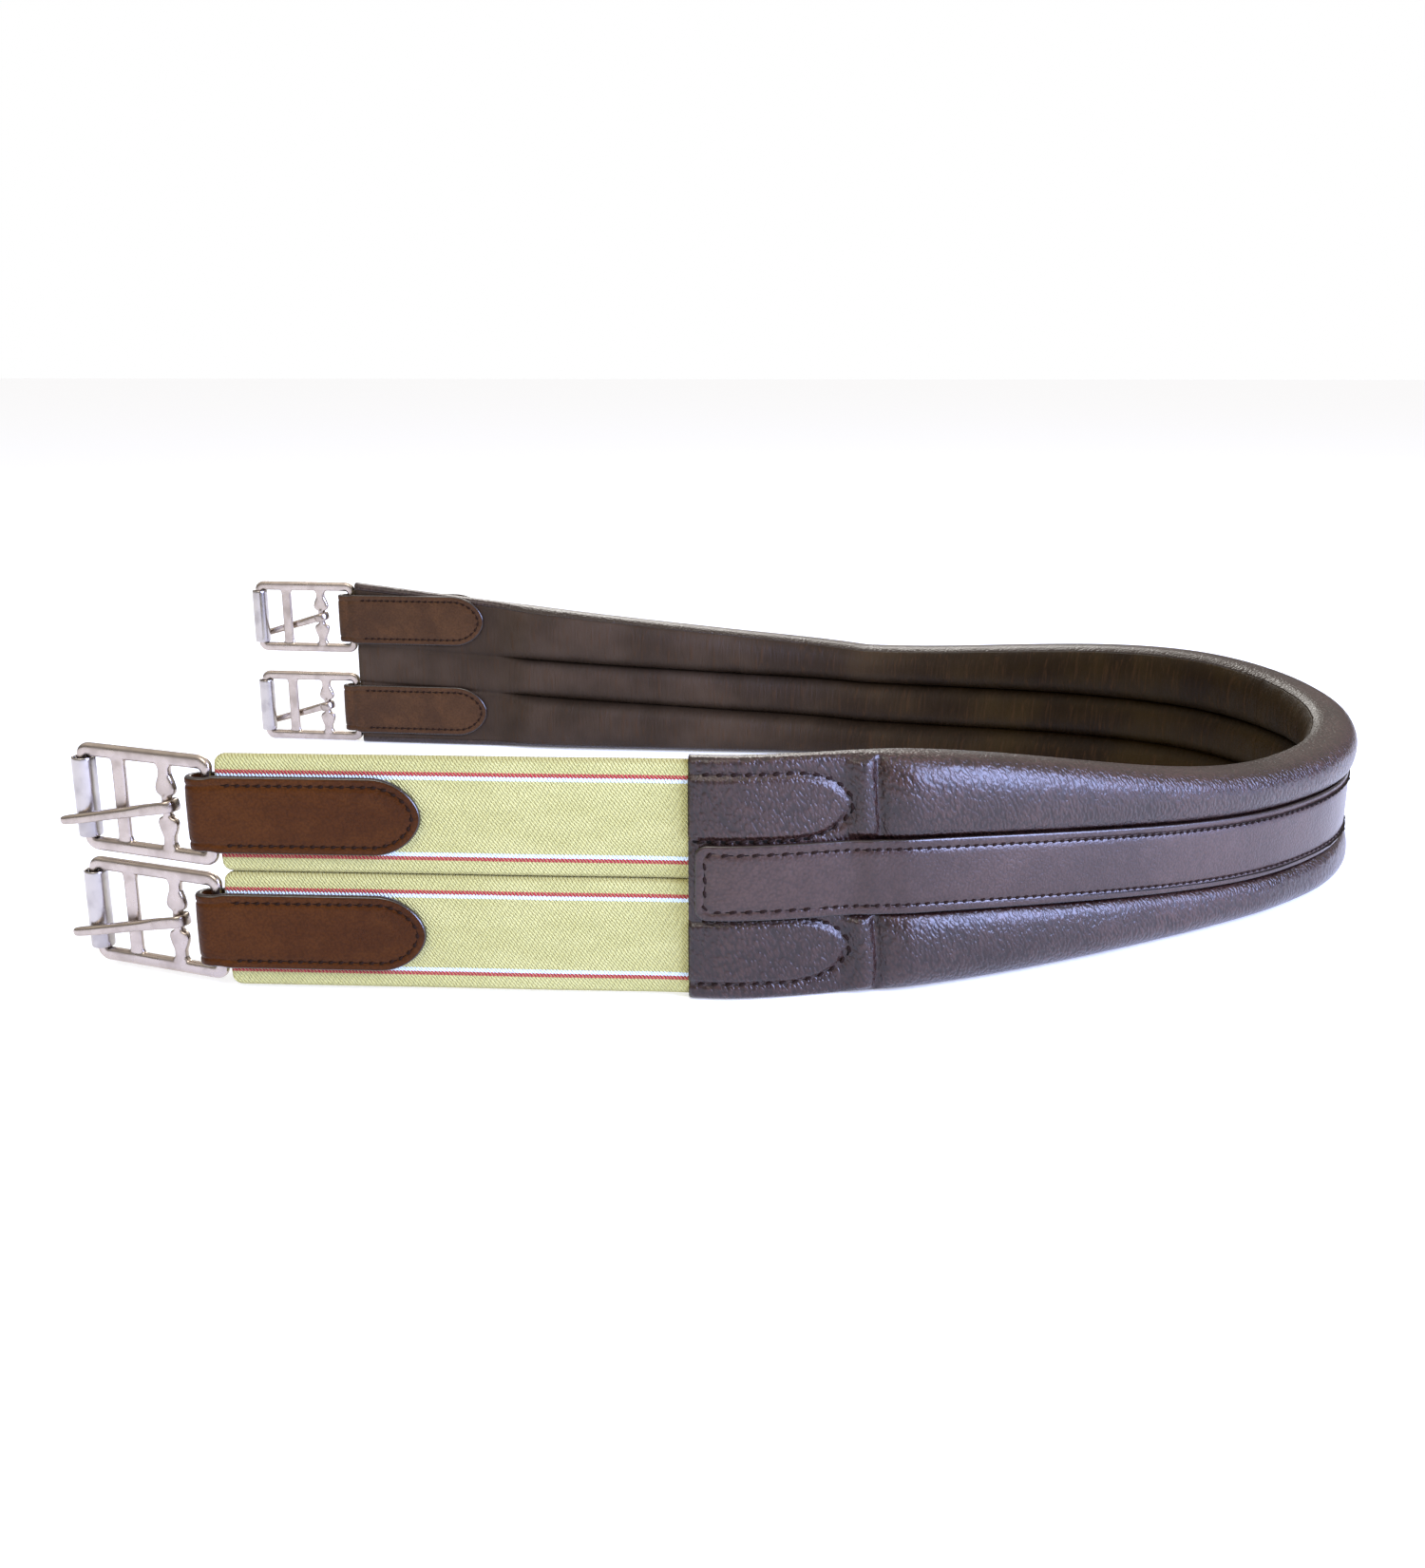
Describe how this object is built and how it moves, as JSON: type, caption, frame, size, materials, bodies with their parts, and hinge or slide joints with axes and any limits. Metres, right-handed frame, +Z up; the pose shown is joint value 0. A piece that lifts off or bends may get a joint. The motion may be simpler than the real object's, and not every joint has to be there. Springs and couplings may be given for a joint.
{
  "type": "saddle girth",
  "caption": "Padded leather saddle girth folded into a U, with elastic bands at one end and roller buckles at both ends for the saddle's billet straps.",
  "frame": {"origin": "middle of the girth's footprint, on the floor it stands on", "axes": "+X from the buckles towards the bend, +Y from the elastic end towards the fixed end, +Z up, across the belt's width"},
  "size_m": [0.6604, 0.4488, 0.109],
  "materials": {
    "grained_leather": "grained, semi-matt",
    "lining_leather": "smooth, semi-matt",
    "strap_leather": "smooth, stitched",
    "buckle_leather": "smooth, semi-gloss, stitched",
    "elastic": "woven twill with red edge lines",
    "foam": "open-cell foam, hidden",
    "webbing": "woven, hidden",
    "frame_steel": "satin nickel",
    "roller_steel": "satin nickel",
    "tongue_steel": "satin nickel, slightly darker"
  },
  "bodies": {
    "belt": {"outer_cover": "grained_leather", "inner_lining": "lining_leather", "foam_roll_upper": "foam", "foam_roll_lower": "foam", "foam_core": "foam", "tension_web": "webbing", "end_stiffener": "buckle_leather", "centre_strap": "strap_leather", "elastic_upper": "elastic", "elastic_lower": "elastic", "chape_fixed_upper": "buckle_leather", "chape_fixed_lower": "buckle_leather"},
    "elastic_end_upper": {"chape_elastic_upper": "buckle_leather"},
    "elastic_end_lower": {"chape_elastic_lower": "buckle_leather"},
    "frame_elastic_upper": {"buckle_frame_elastic_upper": "frame_steel"},
    "tongue_elastic_upper": {"buckle_tongue_elastic_upper": "tongue_steel"},
    "roller_elastic_upper": {"buckle_roller_elastic_upper": "roller_steel"},
    "frame_elastic_lower": {"buckle_frame_elastic_lower": "frame_steel"},
    "tongue_elastic_lower": {"buckle_tongue_elastic_lower": "tongue_steel"},
    "roller_elastic_lower": {"buckle_roller_elastic_lower": "roller_steel"},
    "frame_fixed_upper": {"buckle_frame_fixed_upper": "frame_steel"},
    "tongue_fixed_upper": {"buckle_tongue_fixed_upper": "tongue_steel"},
    "roller_fixed_upper": {"buckle_roller_fixed_upper": "roller_steel"},
    "frame_fixed_lower": {"buckle_frame_fixed_lower": "frame_steel"},
    "tongue_fixed_lower": {"buckle_tongue_fixed_lower": "tongue_steel"},
    "roller_fixed_lower": {"buckle_roller_fixed_lower": "roller_steel"}
  },
  "joints": [
    {"name": "elastic_stretch_upper", "type": "slide", "parent": "belt", "child": "elastic_end_upper", "axis": [-1, 0, 0], "range_m": [0, 0.04], "stiffness_N_per_m": 2000, "deforming": ["elastic_upper"]},
    {"name": "elastic_stretch_lower", "type": "slide", "parent": "belt", "child": "elastic_end_lower", "axis": [-1, 0, 0], "range_m": [0, 0.04], "stiffness_N_per_m": 2000, "deforming": ["elastic_lower"]},
    {"name": "buckle_swivel_elastic_upper", "type": "hinge", "parent": "elastic_end_upper", "child": "frame_elastic_upper", "pos_m": [-0.20237, -0.21649, 0.0773], "axis": [0, 0, 1], "range_deg": [-56.4, 93.6]},
    {"name": "tongue_swing_elastic_upper", "type": "hinge", "parent": "frame_elastic_upper", "child": "tongue_elastic_upper", "pos_m": [-0.22275, -0.20963, 0.0773], "axis": [0, 0, 1], "range_deg": [0, 100]},
    {"name": "roller_spin_elastic_upper", "type": "hinge", "parent": "frame_elastic_upper", "child": "roller_elastic_upper", "pos_m": [-0.26303, -0.19607, 0.0773], "axis": [0, 0, 1], "continuous": true},
    {"name": "buckle_swivel_elastic_lower", "type": "hinge", "parent": "elastic_end_lower", "child": "frame_elastic_lower", "pos_m": [-0.20237, -0.21649, 0.0267], "axis": [0, 0, 1], "range_deg": [-56.4, 93.6]},
    {"name": "tongue_swing_elastic_lower", "type": "hinge", "parent": "frame_elastic_lower", "child": "tongue_elastic_lower", "pos_m": [-0.22275, -0.20963, 0.0267], "axis": [0, 0, 1], "range_deg": [0, 100]},
    {"name": "roller_spin_elastic_lower", "type": "hinge", "parent": "frame_elastic_lower", "child": "roller_elastic_lower", "pos_m": [-0.26303, -0.19607, 0.0267], "axis": [0, 0, 1], "continuous": true},
    {"name": "buckle_swivel_fixed_upper", "type": "hinge", "parent": "belt", "child": "frame_fixed_upper", "pos_m": [-0.25936, 0.21079, 0.0852], "axis": [0, 0, 1], "range_deg": [-75, 75]},
    {"name": "tongue_swing_fixed_upper", "type": "hinge", "parent": "frame_fixed_upper", "child": "tongue_fixed_upper", "pos_m": [-0.28081, 0.21223, 0.0852], "axis": [0, 0, -1], "range_deg": [0, 100]},
    {"name": "roller_spin_fixed_upper", "type": "hinge", "parent": "frame_fixed_upper", "child": "roller_fixed_upper", "pos_m": [-0.32322, 0.21508, 0.0852], "axis": [0, 0, 1], "continuous": true},
    {"name": "buckle_swivel_fixed_lower", "type": "hinge", "parent": "belt", "child": "frame_fixed_lower", "pos_m": [-0.25936, 0.21079, 0.0238], "axis": [0, 0, 1], "range_deg": [-75, 75]},
    {"name": "tongue_swing_fixed_lower", "type": "hinge", "parent": "frame_fixed_lower", "child": "tongue_fixed_lower", "pos_m": [-0.28081, 0.21223, 0.0238], "axis": [0, 0, -1], "range_deg": [0, 100]},
    {"name": "roller_spin_fixed_lower", "type": "hinge", "parent": "frame_fixed_lower", "child": "roller_fixed_lower", "pos_m": [-0.32322, 0.21508, 0.0238], "axis": [0, 0, 1], "continuous": true}
  ]
}
